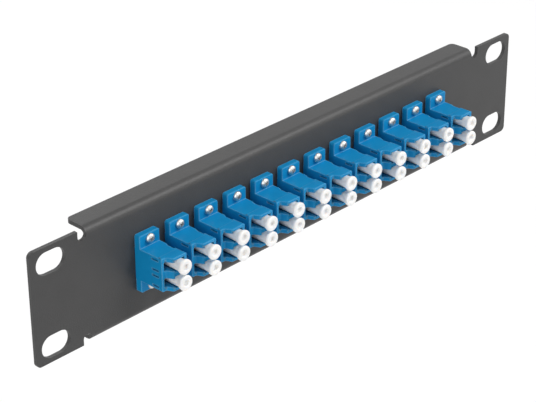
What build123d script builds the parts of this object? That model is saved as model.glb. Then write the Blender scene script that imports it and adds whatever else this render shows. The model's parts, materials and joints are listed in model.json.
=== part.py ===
from build123d import *
import os

# A 10-inch, one-unit rack panel for fibre cords, in millimetres.
# X runs along the panel, +Y into the rack, +Z up; the front face of the sheet is y = 0,
# and the origin is the middle of the four rack slots.

# Folded steel sheet
panel_height = 44.0
sheet = 1.5
bend_inside = 1.4
fold_depth = 10.4
ear_length = 24.5
fold_corner = 2.0
ear_corner = 2.0
relief_width = 3.8
relief_depth = 4.0
slot_spacing_x = 236.5
slot_spacing_z = 31.75
slot_inset = 8.75
slot_length = 12.5
slot_width = 8.5

# Row of duplex adapters, each standing upright
adapter_count = 12
adapter_pitch = 14.13
row_offset = 1.0
cutout_gap = 0.1

# Adapter housing: u is along X from the adapter's middle, the latch side is at -u
body_width = 9.4
body_height = 12.9
flange_height = 22.2
flange_thickness = 2.5
flange_corner = 0.8
flange_edge = 0.3
body_length = 13.3
latch_lip_setback = 2.5
latch_lip_width = 1.8
lip_slope_width = 1.3
lip_blend = 0.8
collar_length = 4.4
collar_step = 0.2
long_edge_round = 0.5
front_edge_round = 0.2
clip_recess_depth = 0.65
clip_recess_start = 3.1
clip_recess_ramp = 1.4
clip_recess_end = 7.85

# Ports: two at each end, one above the other
port_pitch = 6.25
port_offset = 1.35
port_size = 4.66
mid_wall = 2.0
latch_slot_height = 3.3
latch_wall = 0.95
latch_slot_depth = 7.9
slit_height = 0.65
slit_start = 4.2
slit_length = 3.3
slit_reach = 3.2

# Sleeve holders and the split sleeves inside them
holder_diameter = 2.9
holder_length = 10.0
holder_lip = 0.5
holder_mouth = 1.45
sleeve_diameter = 1.6
sleeve_bore = 1.25
sleeve_length = 6.8
sleeve_slit = 0.2
sleeve_gap = 0.05

# Dust caps
cap_gap = 0.08
cap_end_gap = 1.15
cap_bore_gap = 0.1
cap_bore_depth = 9.0
cap_standoff = 1.1
cap_flare_length = 1.1
cap_head_length = 1.0
cap_head_diameter = 5.7
cap_head_round = 0.25
cap_dish_diameter = 2.7
cap_dish_depth = 0.35
cap_dish_edge = 0.25
cap_nose = 0.3

# Screws and nuts
screw_spacing = 18.0
screw_diameter = 1.9
screw_hole_gap = 0.15
screw_head_diameter = 3.6
screw_head_height = 1.35
screw_head_edge = 0.55
screw_end = 0.6
nut_flats = 4.0
nut_thickness = 1.6
nut_thread_gap = 0.05

# Values that follow from the ones above
cut = 1.0
panel_length = slot_spacing_x + 2 * slot_inset
folded_length = panel_length - 2 * ear_length
body_half = body_width / 2
flange_middle = -flange_thickness / 2
port_face = body_length + flange_thickness / 2
port_wall = mid_wall / 2
port_left = port_offset - port_size / 2
cap_diameter = port_size - 2 * cap_gap
cap_bore = holder_diameter + 2 * cap_bore_gap
adapter_x = [
    row_offset + (i - (adapter_count - 1) / 2) * adapter_pitch for i in range(adapter_count)
]
screw_hole = screw_diameter + 2 * screw_hole_gap


def box_between(x, y, z):
    """A block given by its low and high value along each axis."""
    size = [high - low for low, high in (x, y, z)]
    middle = [(low + high) / 2 for low, high in (x, y, z)]
    return Pos(*middle) * Box(*size)


def rod(diameter, start, end):
    """A round bar along Y between two values of y."""
    return Pos(0, (start + end) / 2, 0) * Rot(90, 0, 0) * Cylinder(diameter / 2, abs(end - start))


def folded_channel():
    """The middle of the sheet with its top and bottom folds, as one bent section."""
    outside = Pos(fold_depth / 2, 0) * Rectangle(fold_depth, panel_height)
    outside = fillet(outside.vertices().group_by(Axis.X)[0], bend_inside + sheet)
    inside = Pos((sheet + fold_depth + cut) / 2, 0) * Rectangle(
        fold_depth + cut - sheet, panel_height - 2 * sheet
    )
    inside = fillet(inside.vertices().group_by(Axis.X)[0], bend_inside)
    channel = extrude(Plane.YZ * (outside - inside), folded_length / 2, both=True)
    corners = channel.edges().filter_by(Axis.Z).group_by(Axis.Y)[-1]
    return fillet(corners, fold_corner)


def ear(side):
    """One flat ear with rounded corners and a relief notch at each end of the folds."""
    inner = folded_length / 2
    length = panel_length / 2 - inner
    plate = box_between((inner, inner + length), (0, sheet), (-panel_height / 2, panel_height / 2))
    plate = fillet(plate.edges().filter_by(Axis.Y).group_by(Axis.X)[-1], ear_corner)
    notch_radius = relief_width / 2
    for end in (-1, 1):
        z_round = panel_height / 2 - relief_depth + notch_radius
        plate -= Pos(inner + notch_radius, 0, end * z_round) * rod(relief_width, -cut, sheet + cut)
        z_open = sorted((end * z_round, end * (panel_height / 2 + cut)))
        plate -= box_between((inner - cut, inner + relief_width), (-cut, sheet + cut), z_open)
    return plate if side > 0 else mirror(plate, about=Plane.YZ)


def rack_slots():
    """The four slots for the rack's screws."""
    shape = Plane.XZ * SlotOverall(slot_length, slot_width)
    slot = extrude(shape, sheet + cut, both=True)
    places = [(x, z) for x in (-1, 1) for z in (-1, 1)]
    return [Pos(x * slot_spacing_x / 2, 0, z * slot_spacing_z / 2) * slot for x, z in places]


def adapter_openings():
    """The cut-out and the two screw holes of every adapter."""
    half_x = body_half + cutout_gap
    half_z = body_height / 2 + cutout_gap
    window = box_between((-half_x, half_x), (-cut, sheet + cut), (-half_z, half_z))
    hole = rod(screw_hole, -cut, sheet + cut)
    tools = []
    for x in adapter_x:
        tools.append(Pos(x, 0, 0) * window)
        tools += [Pos(x, 0, z) * hole for z in (-screw_spacing / 2, screw_spacing / 2)]
    return tools


def panel():
    sheet_metal = folded_channel() + ear(-1) + ear(1)
    return sheet_metal - rack_slots() - adapter_openings()


def front_outline(shell):
    """The edges all round the front of an end: the port face, the slope and the latch side."""
    rearmost = latch_lip_setback - port_face + 0.01
    front = shell.edges().filter_by(lambda e: max(v.Y for v in e.vertices()) < rearmost)
    return front.filter_by(lambda e: abs(e.center().Z) > 1 or abs(e.center().X) > body_half - 0.01)


def end_shell():
    """One end of the housing from its middle plane outwards along -Y, solid, seen from above."""
    lip = latch_lip_setback
    left = -body_half + latch_lip_width
    start, ramp_end = clip_recess_start, clip_recess_start + clip_recess_ramp
    waist = body_half - clip_recess_depth
    outline = Polyline(
        (-body_half, 0),
        (-body_half, lip - port_face),
        (left, lip - port_face),
        (left + lip_slope_width, -port_face),
        (body_half, -port_face),
        (body_half, -flange_thickness / 2 - clip_recess_end),
        (waist, -flange_thickness / 2 - clip_recess_end),
        (waist, -flange_thickness / 2 - ramp_end),
        (body_half, -flange_thickness / 2 - start),
        (body_half, 0),
        close=True,
    )
    plan = make_face(outline)
    slope = [v for v in plan.vertices() if left - 0.01 < v.X < left + lip_slope_width + 0.01]
    plan = fillet(slope, lip_blend)
    shell = extrude(plan, body_height / 2, both=True)
    long_edges = shell.edges().filter_by(Axis.Y).filter_by(lambda e: abs(e.center().Z) > 1)
    shell = fillet(long_edges.filter_by(lambda e: e.length > latch_lip_setback), long_edge_round)
    shell = fillet(front_outline(shell), front_edge_round)
    for side in (-1, 1):
        z = sorted((side * (body_height / 2 - collar_step), side * (body_height / 2 + cut)))
        shell -= box_between((-body_width, body_width), (collar_length - port_face, cut), z)
    return shell


def port_cuts():
    """One port's cavity, latch slot and the two slits in the latch wall, along -Y."""
    half = port_size / 2
    mouth = (-port_face - cut, -port_wall)
    port = box_between((port_left, port_left + port_size), mouth, (-half, half))
    latch_z = (-latch_slot_height / 2, latch_slot_height / 2)
    latch_y = (-port_face - cut, latch_slot_depth - port_face)
    port += box_between((-body_half + latch_wall, port_left + cut), latch_y, latch_z)
    slit_y = (slit_start - port_face, slit_start + slit_length - port_face)
    for side in (-1, 1):
        edge = side * latch_slot_height / 2
        slit_z = sorted((edge, edge + side * slit_height))
        port += box_between((-body_half - cut, -body_half + slit_reach), slit_y, slit_z)
    return port


def holder_bore():
    """The space inside a sleeve holder: room for the sleeve, with a narrow mouth at each end."""
    half = holder_length / 2
    bore = rod(holder_mouth, -half - cut, half + cut)
    return bore + rod(sleeve_diameter + 2 * sleeve_gap, holder_lip - half, half - holder_lip)


def adapter_housing():
    """The moulded duplex housing: two ends alike, a flange with two holes, and four ports."""
    shell = end_shell()
    shell += mirror(shell, about=Plane.XZ)
    flange = box_between(
        (-body_half, body_half),
        (-flange_thickness / 2, flange_thickness / 2),
        (-flange_height / 2, flange_height / 2),
    )
    flange = fillet(flange.edges().filter_by(Axis.Y), flange_corner)
    flange = fillet(flange.edges().group_by(Axis.Y)[0], flange_edge)
    housing = shell + flange
    cavity = port_cuts()
    holder = rod(holder_diameter, -holder_length / 2, holder_length / 2)
    for z in (-port_pitch / 2, port_pitch / 2):
        housing -= Pos(0, 0, z) * cavity
        housing -= Pos(0, 0, z) * mirror(cavity, about=Plane.XZ)
        housing += Pos(port_offset, 0, z) * holder
        housing -= Pos(port_offset, 0, z) * holder_bore()
    for z in (-screw_spacing / 2, screw_spacing / 2):
        housing -= Pos(0, 0, z) * rod(screw_hole, -flange_thickness, flange_thickness)
    return Pos(0, flange_middle, 0) * housing


def dust_cap():
    """A cap for one port, its axis on Y, in the housing's own frame and pointing along -Y."""
    shank = cap_diameter / 2
    head = cap_head_diameter / 2
    inner_end = -port_wall - cap_end_gap
    flare_start = -port_face - cap_standoff
    flare_end = flare_start - cap_flare_length
    face = flare_end - cap_head_length
    bore_end = inner_end - cap_bore_depth
    outline = Polyline(
        (cap_bore / 2, inner_end),
        (shank - cap_nose, inner_end),
        (shank, inner_end - cap_nose),
        (shank, flare_start),
        (head, flare_end),
        (head, face + cap_head_round),
        (head - cap_head_round, face),
        (cap_dish_diameter / 2, face),
        (cap_dish_diameter / 2 - cap_dish_edge, face + cap_dish_depth),
        (0, face + cap_dish_depth),
        (0, bore_end - cap_bore / 4),
        (cap_bore / 2, bore_end),
        close=True,
    )
    return revolve(make_face(outline), Axis.Y)


def front_cap(x, z):
    return Pos(x + port_offset, flange_middle, z) * dust_cap()


def rear_caps(x):
    """The two caps at the back of one adapter."""
    cap = mirror(dust_cap(), about=Plane.XZ)
    heights = (-port_pitch / 2, port_pitch / 2)
    return Compound([Pos(x + port_offset, flange_middle, z) * cap for z in heights])


def flange_screw():
    """A pan-head screw through the flange, the sheet and its nut."""
    seat = -flange_thickness
    end = sheet + nut_thickness + screw_end
    top = seat - screw_head_height
    head = screw_head_diameter / 2
    side = Polyline(
        (0, top),
        (0, end),
        (screw_diameter / 2, end),
        (screw_diameter / 2, seat),
        (head, seat),
        (head, seat - screw_head_edge),
    )
    dome = TangentArc((0, top), (head, seat - screw_head_edge), tangent=(1, 0))
    return revolve(make_face(side + dome), Axis.Y)


def flange_nut():
    """A hexagonal nut behind the sheet, with flats above and below."""
    blank = extrude(Plane.XZ * RegularPolygon(nut_flats / 2, 6, major_radius=False), -nut_thickness)
    blank = Pos(0, sheet, 0) * blank
    bore = screw_diameter + 2 * nut_thread_gap
    return blank - rod(bore, sheet - cut, sheet + nut_thickness + cut)


def split_sleeve():
    """A ceramic sleeve with one slit along its length."""
    half = sleeve_length / 2
    sleeve = rod(sleeve_diameter, -half, half) - rod(sleeve_bore, -half - cut, half + cut)
    slit = box_between((-sleeve_slit / 2, sleeve_slit / 2), (-half - cut, half + cut), (0, sleeve_diameter))
    return Pos(0, flange_middle, 0) * (sleeve - slit)


def at_flange_holes(piece):
    """The same fastener in both holes of every flange, as one group."""
    heights = (-screw_spacing / 2, screw_spacing / 2)
    return Compound([Pos(x, 0, z) * piece for x in adapter_x for z in heights])


def in_sleeve_holders(piece):
    """The same sleeve in both holders of every adapter, as one group."""
    heights = (-port_pitch / 2, port_pitch / 2)
    return Compound([Pos(x + port_offset, 0, z) * piece for x in adapter_x for z in heights])


def write(node, shape):
    export_step(shape, f"parts/{node}.step")


os.makedirs("parts", exist_ok=True)
write("panel", panel())
write("adapter_screws", at_flange_holes(flange_screw()))
write("adapter_nuts", at_flange_holes(flange_nut()))
write("alignment_sleeves", in_sleeve_holders(split_sleeve()))
housing = adapter_housing()
for number, x in enumerate(adapter_x, start=1):
    write(f"adapter_housing_{number:02d}", Pos(x, 0, 0) * housing)
    write(f"front_cap_{number:02d}_upper", front_cap(x, port_pitch / 2))
    write(f"front_cap_{number:02d}_lower", front_cap(x, -port_pitch / 2))
    write(f"rear_caps_{number:02d}", rear_caps(x))
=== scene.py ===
import json
import math

import bmesh
import bpy
from mathutils import Matrix, Vector


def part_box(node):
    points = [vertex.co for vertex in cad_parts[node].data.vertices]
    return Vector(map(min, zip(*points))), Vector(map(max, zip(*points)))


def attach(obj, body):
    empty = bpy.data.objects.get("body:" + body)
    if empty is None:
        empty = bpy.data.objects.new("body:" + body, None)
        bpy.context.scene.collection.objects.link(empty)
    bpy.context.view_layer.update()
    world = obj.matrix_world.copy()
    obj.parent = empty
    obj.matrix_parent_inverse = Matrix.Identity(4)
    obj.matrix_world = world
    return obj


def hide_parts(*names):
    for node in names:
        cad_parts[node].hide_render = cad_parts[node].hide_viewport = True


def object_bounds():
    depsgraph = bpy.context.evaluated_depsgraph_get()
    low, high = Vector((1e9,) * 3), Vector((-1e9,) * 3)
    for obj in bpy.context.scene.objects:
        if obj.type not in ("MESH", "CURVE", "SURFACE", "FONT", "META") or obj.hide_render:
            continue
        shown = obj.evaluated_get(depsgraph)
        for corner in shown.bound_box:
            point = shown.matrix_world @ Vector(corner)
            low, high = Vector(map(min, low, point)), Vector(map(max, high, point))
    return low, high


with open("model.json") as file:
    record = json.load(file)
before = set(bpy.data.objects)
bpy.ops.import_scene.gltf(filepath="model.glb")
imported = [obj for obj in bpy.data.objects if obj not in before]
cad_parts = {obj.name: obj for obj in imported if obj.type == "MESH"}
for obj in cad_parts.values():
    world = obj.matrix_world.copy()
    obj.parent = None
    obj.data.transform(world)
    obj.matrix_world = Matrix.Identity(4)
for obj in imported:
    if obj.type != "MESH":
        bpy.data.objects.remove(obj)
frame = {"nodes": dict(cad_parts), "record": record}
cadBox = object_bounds()
print("frame loaded:", len(frame["nodes"]), "nodes")

mm = 0.001
adapterNumbers = [f"{n:02d}" for n in range(1, 13)]
portNames = ("upper", "lower")


# Camera where the photograph was taken from, in millimetres and degrees
camera = {
    "place": (-450.6, -420.6, 316.6),
    "azimuth": -45.91,
    "elevation": 27.78,
    "roll": -0.458,
    "focalPixels": 1865.4,
    "imageWidth": 536,
    "shift": (0.0025, 0.0046),
    "sensorWidth": 36.0,
    "clipRange": (0.05, 20.0),  # in metres
}


def makeCamera():
    lens = bpy.data.cameras.new("camera")
    lens.sensor_width = camera["sensorWidth"]
    lens.lens = camera["focalPixels"] / camera["imageWidth"] * lens.sensor_width
    lens.shift_x, lens.shift_y = camera["shift"]
    lens.clip_start, lens.clip_end = camera["clipRange"]
    eye = bpy.data.objects.new("camera", lens)
    around = math.radians(camera["azimuth"])
    up = math.radians(camera["elevation"])
    towards = Vector((-math.sin(around) * math.cos(up), math.cos(around) * math.cos(up), -math.sin(up)))
    turn = towards.to_track_quat("-Z", "Y").to_matrix().to_4x4()
    turn = turn @ Matrix.Rotation(math.radians(camera["roll"]), 4, "Z")
    eye.matrix_world = Matrix.Translation(Vector(camera["place"]) * mm) @ turn
    bpy.context.scene.collection.objects.link(eye)
    bpy.context.scene.camera = eye


makeCamera()
print("camera made")


# Shader maths: a field is a varying value, and sums on it add Math nodes
class Field:
    def __init__(self, nodes, socket):
        self.nodes = nodes
        self.socket = socket

    def joined(self, operation, first, second):
        return self.nodes.node("ShaderNodeMath", {"operation": operation}, {0: first, 1: second})

    def __add__(self, other):
        return self.joined("ADD", self, other)

    def __radd__(self, other):
        return self.joined("ADD", other, self)

    def __sub__(self, other):
        return self.joined("SUBTRACT", self, other)

    def __rsub__(self, other):
        return self.joined("SUBTRACT", other, self)

    def __mul__(self, other):
        return self.joined("MULTIPLY", self, other)

    def __rmul__(self, other):
        return self.joined("MULTIPLY", other, self)

    def orMore(self, other):
        return self.joined("MAXIMUM", self, other)


# The nodes of a material or of the world, which starts with none
class Nodes:
    def __init__(self, tree):
        self.tree = tree
        tree.nodes.clear()

    def node(self, kind, settings=None, sockets=None, output=0):
        made = self.tree.nodes.new(kind)
        for name, value in (settings or {}).items():
            setattr(made, name, value)
        for name, value in (sockets or {}).items():
            self.feed(made.inputs[name], value)
        return Field(self, made.outputs[output])

    def feed(self, socket, value):
        if isinstance(value, Field):
            self.tree.links.new(value.socket, socket)
        else:
            socket.default_value = value

    # 1 where the camera, a mirror or glass looks, 0 for the light that falls on the object
    def seenDirectly(self):
        seen = self.node("ShaderNodeLightPath", output="Is Camera Ray")
        for output in ("Is Glossy Ray", "Is Transmission Ray"):
            seen = seen.orMore(self.node("ShaderNodeLightPath", output=output))
        return seen


# One material: a Principled shader and the nodes that vary it; sizes are in mm
class Finish(Nodes):
    def __init__(self, name, constants):
        self.material = bpy.data.materials.new(name)
        self.material.use_nodes = True
        super().__init__(self.material.node_tree)
        self.output = self.tree.nodes.new("ShaderNodeOutputMaterial")
        self.shader = self.tree.nodes.new("ShaderNodeBsdfPrincipled")
        self.tree.links.new(self.shader.outputs[0], self.output.inputs["Surface"])
        for socket, value in constants.items():
            self.shader.inputs[socket].default_value = value

    def varies(self, socket, value):
        self.feed(self.shader.inputs[socket], value)

    def grain(self, size, detail=2.0, roughness=0.5):  # noise with grains of this size
        place = self.node("ShaderNodeTexCoord", output="Object")
        sockets = {"Vector": place, "Scale": 1 / (size * mm), "Detail": detail, "Roughness": roughness}
        return self.node("ShaderNodeTexNoise", {"noise_dimensions": "3D"}, sockets)

    def blended(self, factor, first, second):  # a colour from first to second
        sockets = {"Factor": factor, 6: first, 7: second}  # its colours are inputs 6 and 7 and output 2
        return self.node("ShaderNodeMix", {"data_type": "RGBA"}, sockets, output=2)

    def roundedNormal(self, radius):
        return self.node("ShaderNodeBevel", {"samples": 4}, {"Radius": radius * mm})

    def edgeBand(self, width):  # above 0 within this distance of a sharp edge, and most on it
        flat = self.node("ShaderNodeNewGeometry", output="True Normal")
        sockets = {0: self.roundedNormal(width), 1: flat}
        return 1 - self.node("ShaderNodeVectorMath", {"operation": "DOT_PRODUCT"}, sockets, "Value")

    def raised(self, height, distance, edgeRadius=0):  # fine relief and softened edges
        sockets = {"Height": height, "Distance": distance * mm}
        if edgeRadius:
            sockets["Normal"] = self.roundedNormal(edgeRadius)
        self.varies("Normal", self.node("ShaderNodeBump", None, sockets))


def powderCoat():
    looks = {
        "dark": (0.035, 0.035, 0.035, 1),
        "light": (0.062, 0.061, 0.061, 1),
        "grain": {"size": 0.6, "detail": 3.0, "roughness": 0.6},
        "cloud": {"size": 9.0},
        "grainShare": 0.6,
        "relief": 0.075,
        "edgeRadius": 0.15,
        "roughness": 0.37,
        "roughnessSpread": 0.16,
    }
    coat = Finish("powderCoat", {"Specular IOR Level": 0.33})
    grain = coat.grain(**looks["grain"])
    cloud = coat.grain(**looks["cloud"])
    mottle = grain * looks["grainShare"] + cloud * (1 - looks["grainShare"])
    coat.varies("Base Color", coat.blended(mottle, looks["dark"], looks["light"]))
    coat.varies("Roughness", looks["roughness"] + grain * looks["roughnessSpread"])
    coat.raised(grain, looks["relief"], looks["edgeRadius"])
    return coat.material


def adapterBlue():
    looks = {
        "deep": (0.004, 0.214, 0.478, 1),
        "bright": (0.008, 0.271, 0.562, 1),
        "flow": {"size": 6.0},
        "skin": {"size": 0.18},
        "relief": 0.006,
        "edgeRadius": 0.22,
        # the colour of the painted highlight along sharp edges
        "paintedHighlightColour": (0.150, 0.410, 0.630, 1),
        "paintedHighlightWidth": 0.65,
        "paintedHighlightStrength": 4.6,
        "roughness": 0.28,
        "roughnessSpread": 0.14,
    }
    blue = Finish("adapterBlue", {"Specular IOR Level": 0.1})
    flow = blue.grain(**looks["flow"])
    skin = blue.grain(**looks["skin"])
    body = blue.blended(flow, looks["deep"], looks["bright"])
    edge = blue.edgeBand(looks["paintedHighlightWidth"]) * looks["paintedHighlightStrength"]  # painted highlight: a lighter blue along sharp edges, standing in for light caught on their rounding
    blue.varies("Base Color", blue.blended(edge, body, looks["paintedHighlightColour"]))
    blue.varies("Roughness", looks["roughness"] + skin * looks["roughnessSpread"])
    blue.raised(skin, looks["relief"], looks["edgeRadius"])
    return blue.material


def capWhite():
    looks = {
        "shade": (0.84, 0.83, 0.82, 1),
        "clean": (0.885, 0.88, 0.87, 1),
        "cloud": {"size": 2.5},
        "skin": {"size": 0.15},
        "relief": 0.005,
        "roughness": 0.34,
        "roughnessSpread": 0.14,
    }
    softness = {
        "Subsurface Weight": 0.9,
        "Subsurface Radius": (0.0014, 0.0013, 0.0012),
        "Subsurface Scale": 1.0,
    }
    white = Finish("capWhite", softness)
    cloud = white.grain(**looks["cloud"])
    skin = white.grain(**looks["skin"])
    white.varies("Base Color", white.blended(cloud, looks["shade"], looks["clean"]))
    white.varies("Roughness", looks["roughness"] + skin * looks["roughnessSpread"])
    white.raised(skin, looks["relief"])
    return white.material


def nickelPlate():
    looks = {
        "dull": (0.50, 0.49, 0.47, 1),
        "bright": (0.74, 0.73, 0.71, 1),
        "stain": {"size": 0.9, "detail": 3.0, "roughness": 0.6},
        "scratch": {"size": 0.12, "detail": 2.0, "roughness": 0.6},
        "relief": 0.004,
        "roughness": 0.3,
        "roughnessSpread": 0.2,
    }
    nickel = Finish("nickelPlate", {"Metallic": 1.0})
    stain = nickel.grain(**looks["stain"])
    scratch = nickel.grain(**looks["scratch"])
    nickel.varies("Base Color", nickel.blended(stain, looks["dull"], looks["bright"]))
    nickel.varies("Roughness", looks["roughness"] + scratch * looks["roughnessSpread"])
    nickel.raised(scratch, looks["relief"])
    return nickel.material


def paintedRecessShade():  # painted shade: a darker metal for the tool recess in a screw's head, standing in for the shade that falls inside it
    looks = {
        "deep": (0.30, 0.29, 0.28, 1),
        "rim": (0.46, 0.44, 0.42, 1),
        "grain": {"size": 0.2, "detail": 3.0, "roughness": 0.6},
        "roughness": 0.45,
        "roughnessSpread": 0.2,
    }
    shade = Finish("paintedRecessShade", {"Metallic": 1.0})
    grain = shade.grain(**looks["grain"])
    shade.varies("Base Color", shade.blended(grain, looks["deep"], looks["rim"]))
    shade.varies("Roughness", looks["roughness"] + grain * looks["roughnessSpread"])
    return shade.material


def ceramicWhite():
    looks = {
        "shade": (0.78, 0.76, 0.70, 1),
        "clean": (0.86, 0.85, 0.80, 1),
        "cloud": {"size": 0.8},
        "roughness": 0.08,
        "roughnessSpread": 0.1,
    }
    ceramic = Finish("ceramicWhite", {"Specular IOR Level": 0.7})
    cloud = ceramic.grain(**looks["cloud"])
    ceramic.varies("Base Color", ceramic.blended(cloud, looks["shade"], looks["clean"]))
    ceramic.varies("Roughness", looks["roughness"] + cloud * looks["roughnessSpread"])
    return ceramic.material


materials = {
    "powder_coat": powderCoat(),
    "adapter_blue": adapterBlue(),
    "cap_white": capWhite(),
    "nickel": nickelPlate(),
    "ceramic": ceramicWhite(),
}
slotOf = {part["node"]: part["material_slot"] for part in frame["record"]["subparts"]}
for name, node in frame["nodes"].items():
    node.data.materials.clear()
    node.data.materials.append(materials[slotOf[name]])
print("materials made")


# Distances in mm and angles in degrees that count as the same point, plane or smooth surface
closeEnough = {"merge": 0.002, "turnedMerge": 0.001, "onRing": 0.01, "flat": 1.0, "smooth": 35}


def newPiece(name, mesh, body, *replaced):
    slotName = slotOf[replaced[0]]
    data = bpy.data.meshes.new(name)
    mesh.to_mesh(data)
    data.shade_smooth()
    data.set_sharp_from_angle(angle=math.radians(closeEnough["smooth"]))
    data.materials.append(materials[slotName])
    piece = bpy.data.objects.new(name, data)
    bpy.context.scene.collection.objects.link(piece)
    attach(piece, body)
    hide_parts(*replaced)
    return piece


def flatFacesStayFlat(piece):
    normals = piece.modifiers.new("weightedNormals", "WEIGHTED_NORMAL")
    normals.keep_sharp = True


def repeated(single, offsets):  # the same mesh at each offset, as one mesh
    joined = bmesh.new()
    for offset in offsets:
        copy = single.copy()
        bmesh.ops.translate(copy, verts=copy.verts, vec=offset)
        data = bpy.data.meshes.new("copy")
        copy.to_mesh(data)
        copy.free()
        joined.from_mesh(data)
        bpy.data.meshes.remove(data)
    return joined


def middle(node):
    low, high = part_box(node)
    return (low + high) / 2


# A copy of a CAD node, its loose triangles joined to faces
def mergedCopy(node):
    mesh = bmesh.new()
    mesh.from_mesh(frame["nodes"][node].data)
    bmesh.ops.remove_doubles(mesh, verts=mesh.verts, dist=closeEnough["merge"] * mm)
    flat = math.radians(closeEnough["flat"])
    bmesh.ops.dissolve_limit(mesh, angle_limit=flat, verts=mesh.verts, edges=mesh.edges)
    return mesh


# The same with its sharp outer edges rounded a little, as on the real piece
def softened(node, edgeRadius, segments, sharpFrom):
    mesh = mergedCopy(node)
    sharp = [
        edge
        for edge in mesh.edges
        if edge.is_manifold and edge.is_convex and edge.calc_face_angle() > math.radians(sharpFrom)
    ]
    bmesh.ops.bevel(
        mesh,
        geom=sharp,
        offset=edgeRadius * mm,
        offset_type="OFFSET",
        affect="EDGES",
        segments=segments,
        profile=0.5,
        material=-1,
        clamp_overlap=True,
        loop_slide=True,
    )
    return mesh


panelEdges = {"edgeRadius": 0.18, "segments": 2, "sharpFrom": 50}


def makePanel():
    mesh = softened("panel", **panelEdges)
    flatFacesStayFlat(newPiece("foldedPanel", mesh, "root", "panel"))
    mesh.free()


makePanel()
print("panel made")


def makeHousings():
    first = "adapter_housing_" + adapterNumbers[0]
    mesh = mergedCopy(first)
    for number in adapterNumbers:
        node = "adapter_housing_" + number
        copy = repeated(mesh, [middle(node) - middle(first)])
        flatFacesStayFlat(newPiece("housing_" + number, copy, "root", node))
        copy.free()
    mesh.free()


makeHousings()
print("adapter housings made")


# A turned shape: pairs of radius and distance along Y, in mm, spun about the Y axis
def turned(outline, steps):
    mesh = bmesh.new()
    points = [mesh.verts.new((radius * mm, along * mm, 0)) for radius, along in outline]
    for start, end in zip(points, points[1:]):
        mesh.edges.new((start, end))
    bmesh.ops.spin(
        mesh,
        geom=mesh.verts[:] + mesh.edges[:],
        cent=(0, 0, 0),
        axis=(0, 1, 0),
        angle=2 * math.pi,
        steps=steps,
        use_merge=True,
    )
    bmesh.ops.remove_doubles(mesh, verts=mesh.verts, dist=closeEnough["turnedMerge"] * mm)
    bmesh.ops.recalc_face_normals(mesh, faces=mesh.faces)
    return mesh


# Rounds the ring of edges that a corner of the outline made
def roundRing(mesh, radius, along, offset, segments):
    near = closeEnough["onRing"] * mm

    def onRing(vert):
        away = math.hypot(vert.co.x, vert.co.z)
        return abs(away - radius * mm) < near and abs(vert.co.y - along * mm) < near

    ring = [edge for edge in mesh.edges if onRing(edge.verts[0]) and onRing(edge.verts[1])]
    bmesh.ops.bevel(
        mesh,
        geom=ring,
        offset=offset * mm,
        affect="EDGES",
        segments=segments,
        profile=0.5,
        material=-1,
    )


# Dust caps; a round is the width that it takes off a corner, and its segments
capLooks = {
    "headRadius": 2.85,
    "headLength": 1.0,
    "flareLength": 1.1,
    "shankRadius": 2.25,
    "dishRadius": 1.35,
    "dishFloor": 1.15,
    "dishDepth": 1.0,
    "noseTaper": 0.3,
    "boreRadius": 1.55,
    "boreDepth": 9.0,
    "boreTip": 0.78,
    "length": 15.6,
    "faceRound": (0.42, 4),
    "headRound": (0.35, 3),
    "flareRound": (0.6, 3),
    "dishRound": (0.14, 2),
    "dishFloorRound": (0.12, 2),
    "steps": 40,
}


def dustCapMesh():
    c = capLooks
    flareEnd = c["headLength"] + c["flareLength"]
    boreStart = c["length"] - c["boreDepth"]
    outline = [
        (0, c["dishDepth"]),
        (c["dishFloor"], c["dishDepth"]),
        (c["dishRadius"], 0),
        (c["headRadius"], 0),
        (c["headRadius"], c["headLength"]),
        (c["shankRadius"], flareEnd),
        (c["shankRadius"], c["length"] - c["noseTaper"]),
        (c["shankRadius"] - c["noseTaper"], c["length"]),
        (c["boreRadius"], c["length"]),
        (c["boreRadius"], boreStart),
        (0, boreStart - c["boreTip"]),
    ]
    mesh = turned(outline, c["steps"])
    roundRing(mesh, c["headRadius"], 0, *c["faceRound"])
    roundRing(mesh, c["headRadius"], c["headLength"], *c["headRound"])
    roundRing(mesh, c["shankRadius"], flareEnd, *c["flareRound"])
    roundRing(mesh, c["dishRadius"], 0, *c["dishRound"])
    roundRing(mesh, c["dishFloor"], c["dishDepth"], *c["dishFloorRound"])
    return mesh


def makeDustCaps():
    cap = dustCapMesh()
    for number in adapterNumbers:
        for port in portNames:
            node = f"front_cap_{number}_{port}"
            tip = middle(node)
            tip.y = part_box(node)[0].y
            copy = repeated(cap, [tip])
            newPiece(f"dustCap_{number}_{port}", copy, f"cap_{number}_{port}", node)
            copy.free()
    bmesh.ops.rotate(cap, verts=cap.verts, cent=(0, 0, 0), matrix=Matrix.Rotation(math.pi, 3, "Z"))
    for number in adapterNumbers:
        node = f"rear_caps_{number}"
        low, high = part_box(node)
        reach = capLooks["headRadius"] * mm
        tips = [Vector(((low.x + high.x) / 2, high.y, z)) for z in (low.z + reach, high.z - reach)]
        copy = repeated(cap, tips)
        newPiece(f"rearDustCaps_{number}", copy, "root", node)
        copy.free()
    cap.free()


makeDustCaps()
print("dust caps made")


# Screws with a domed head and a cross recess; distances are from the top of the dome
screwLooks = {
    "dome": ((0, 0), (0.7, 0.04), (1.2, 0.17), (1.58, 0.42)),
    "headRadius": 1.8,
    "headEdge": 0.8,
    "headHeight": 1.35,
    "headRound": (0.2, 2),
    "seatRound": (0.08, 1),
    "shankRadius": 0.95,
    "endChamfer": 0.25,
    "recessSpan": 2.3,
    "recessWidth": 0.5,
    "recessDepth": 0.7,
    "recessTipSpan": 0.5,  # shares of the span and the width that are left at its bottom
    "recessTipWidth": 0.7,
    "recessTurn": 25,
    "steps": 32,
    "spacing": 18.0,
}


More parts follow.
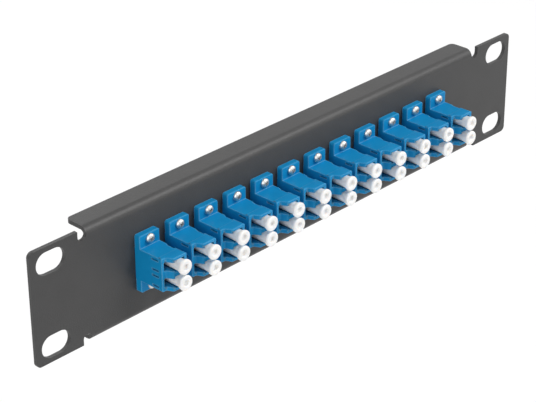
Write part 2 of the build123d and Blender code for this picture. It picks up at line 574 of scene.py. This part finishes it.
def screwMesh():
    s = screwLooks
    low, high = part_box("adapter_screws")
    length = (high.y - low.y) / mm
    outline = [
        *s["dome"],
        (s["headRadius"], s["headEdge"]),
        (s["headRadius"], s["headHeight"]),
        (s["shankRadius"], s["headHeight"]),
        (s["shankRadius"], length - s["endChamfer"]),
        (s["shankRadius"] - s["endChamfer"], length),
        (0, length),
    ]
    mesh = turned(outline, s["steps"])
    roundRing(mesh, s["headRadius"], s["headEdge"], *s["headRound"])
    roundRing(mesh, s["headRadius"], s["headHeight"], *s["seatRound"])
    return mesh


def crossCutter():  # two crossed blades that narrow towards the bottom of the recess
    s = screwLooks
    mesh = bmesh.new()
    for quarter in (0, 1):
        blade = bmesh.ops.create_cube(mesh, size=1.0)["verts"]
        size = (s["recessSpan"] * mm, 2 * s["recessDepth"] * mm, s["recessWidth"] * mm)
        bmesh.ops.scale(mesh, verts=blade, vec=size)
        tip = [vert for vert in blade if vert.co.y > 0]
        bmesh.ops.scale(mesh, verts=tip, vec=(s["recessTipSpan"], 1, s["recessTipWidth"]))
        turn = Matrix.Rotation(math.radians(s["recessTurn"] + 90 * quarter), 3, "Y")
        bmesh.ops.rotate(mesh, verts=blade, cent=(0, 0, 0), matrix=turn)
    # the recess faces take the second material, a darker metal that paints shade into the recess
    for face in mesh.faces:
        face.material_index = 1
    return mesh


def cutBy(base, cutter, recess):  # the base with the cutter's shape taken out
    shapes = []
    for name, mesh in (("base", base), ("cutter", cutter)):
        data = bpy.data.meshes.new(name)
        mesh.to_mesh(data)
        mesh.free()
        data.materials.append(materials["nickel"])
        data.materials.append(recess)
        shape = bpy.data.objects.new(name, data)
        bpy.context.scene.collection.objects.link(shape)
        shapes.append(shape)
    cut = shapes[0].modifiers.new("recess", "BOOLEAN")
    cut.object = shapes[1]
    cut.operation = "DIFFERENCE"
    cut.solver = "EXACT"
    cut.use_self = True
    seen = bpy.context.evaluated_depsgraph_get()
    result = bpy.data.meshes.new_from_object(shapes[0].evaluated_get(seen))
    mesh = bmesh.new()
    mesh.from_mesh(result)
    for shape in shapes:
        bpy.data.meshes.remove(shape.data)
    bpy.data.meshes.remove(result)
    return mesh


def makeScrews():
    recess = paintedRecessShade()
    screw = cutBy(screwMesh(), crossCutter(), recess)
    print("screw faces:", len(screw.faces), "in the recess:", sum(f.material_index for f in screw.faces))
    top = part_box("adapter_screws")[0].y
    half = screwLooks["spacing"] / 2 * mm
    places = []
    for number in adapterNumbers:
        x = middle("adapter_housing_" + number).x
        places += [Vector((x, top, half)), Vector((x, top, -half))]
    joined = repeated(screw, places)
    newPiece("flangeScrews", joined, "root", "adapter_screws").data.materials.append(recess)
    joined.free()
    screw.free()


makeScrews()
print("screws made")


nutEdges = {"edgeRadius": 0.12, "segments": 2, "sharpFrom": 40}


def makeNuts():
    mesh = softened("adapter_nuts", **nutEdges)
    flatFacesStayFlat(newPiece("flangeNuts", mesh, "root", "adapter_nuts"))
    mesh.free()


makeNuts()
print("nuts made")


# Studio, in metres and watts: a pale floor, soft lamps and a plain white world
studio = {
    "floorSize": 6.0,
    "floorDrop": 0.20,
    "floorColour": (0.80, 0.80, 0.80, 1),
    "floorRoughness": 0.9,
    "floorGlow": 1.08,
    "glowShare": 0.75,
    "worldColour": (1, 1, 1, 1),
    "worldLight": 0.19,
}
lamps = {
    "key": {"place": (0.7, -1.05, 1.4), "size": 0.8, "power": 23.0},
    "fill": {"place": (-1.5, -0.6, 0.5), "size": 1.2, "power": 10.9},
    "right": {"place": (1.3, -1.0, 0.9), "size": 1.0, "power": 7.6},
    "rim": {"place": (-0.75, 1.0, 1.05), "size": 0.7, "power": 4.2},
    "back": {"place": (0.3, 1.5, 0.25), "size": 1.1, "power": 12.0},
}


def makeFloor():
    mesh = bmesh.new()
    bmesh.ops.create_grid(mesh, x_segments=1, y_segments=1, size=studio["floorSize"] / 2)
    low = cadBox[0].z - studio["floorDrop"]
    bmesh.ops.translate(mesh, verts=mesh.verts, vec=(0, 0, low))
    data = bpy.data.meshes.new("floor")
    mesh.to_mesh(data)
    mesh.free()
    floor = bpy.data.objects.new("floor", data)
    bpy.context.scene.collection.objects.link(floor)
    paper = Finish("floorPaper", {"Base Color": studio["floorColour"], "Roughness": studio["floorRoughness"]})
    glow = paper.node("ShaderNodeEmission", None, {"Strength": studio["floorGlow"]})
    lit = Field(paper, paper.shader.outputs[0])
    share = paper.seenDirectly() * studio["glowShare"]
    mixed = paper.node("ShaderNodeMixShader", None, {0: share, 1: lit, 2: glow})
    paper.feed(paper.output.inputs["Surface"], mixed)
    data.materials.append(paper.material)


def makeWorld():
    world = bpy.data.worlds.new("studio")
    world.use_nodes = True
    sky = Nodes(world.node_tree)
    level = studio["worldLight"]
    strength = level + sky.seenDirectly() * (1 - level)
    white = sky.node("ShaderNodeBackground", None, {"Color": studio["worldColour"], "Strength": strength})
    end = sky.tree.nodes.new("ShaderNodeOutputWorld")
    sky.feed(end.inputs["Surface"], white)
    bpy.context.scene.world = world


def makeLamps():
    for name, lamp in lamps.items():
        light = bpy.data.lights.new(name, "AREA")
        light.shape = "SQUARE"
        light.size = lamp["size"]
        light.energy = lamp["power"]
        stand = bpy.data.objects.new(name, light)
        aim = (-Vector(lamp["place"])).to_track_quat("-Z", "Y")
        stand.matrix_world = Matrix.Translation(lamp["place"]) @ aim.to_matrix().to_4x4()
        bpy.context.scene.collection.objects.link(stand)


bpy.context.scene.view_settings.view_transform = "Standard"
makeFloor()
makeWorld()
makeLamps()
print("studio made")
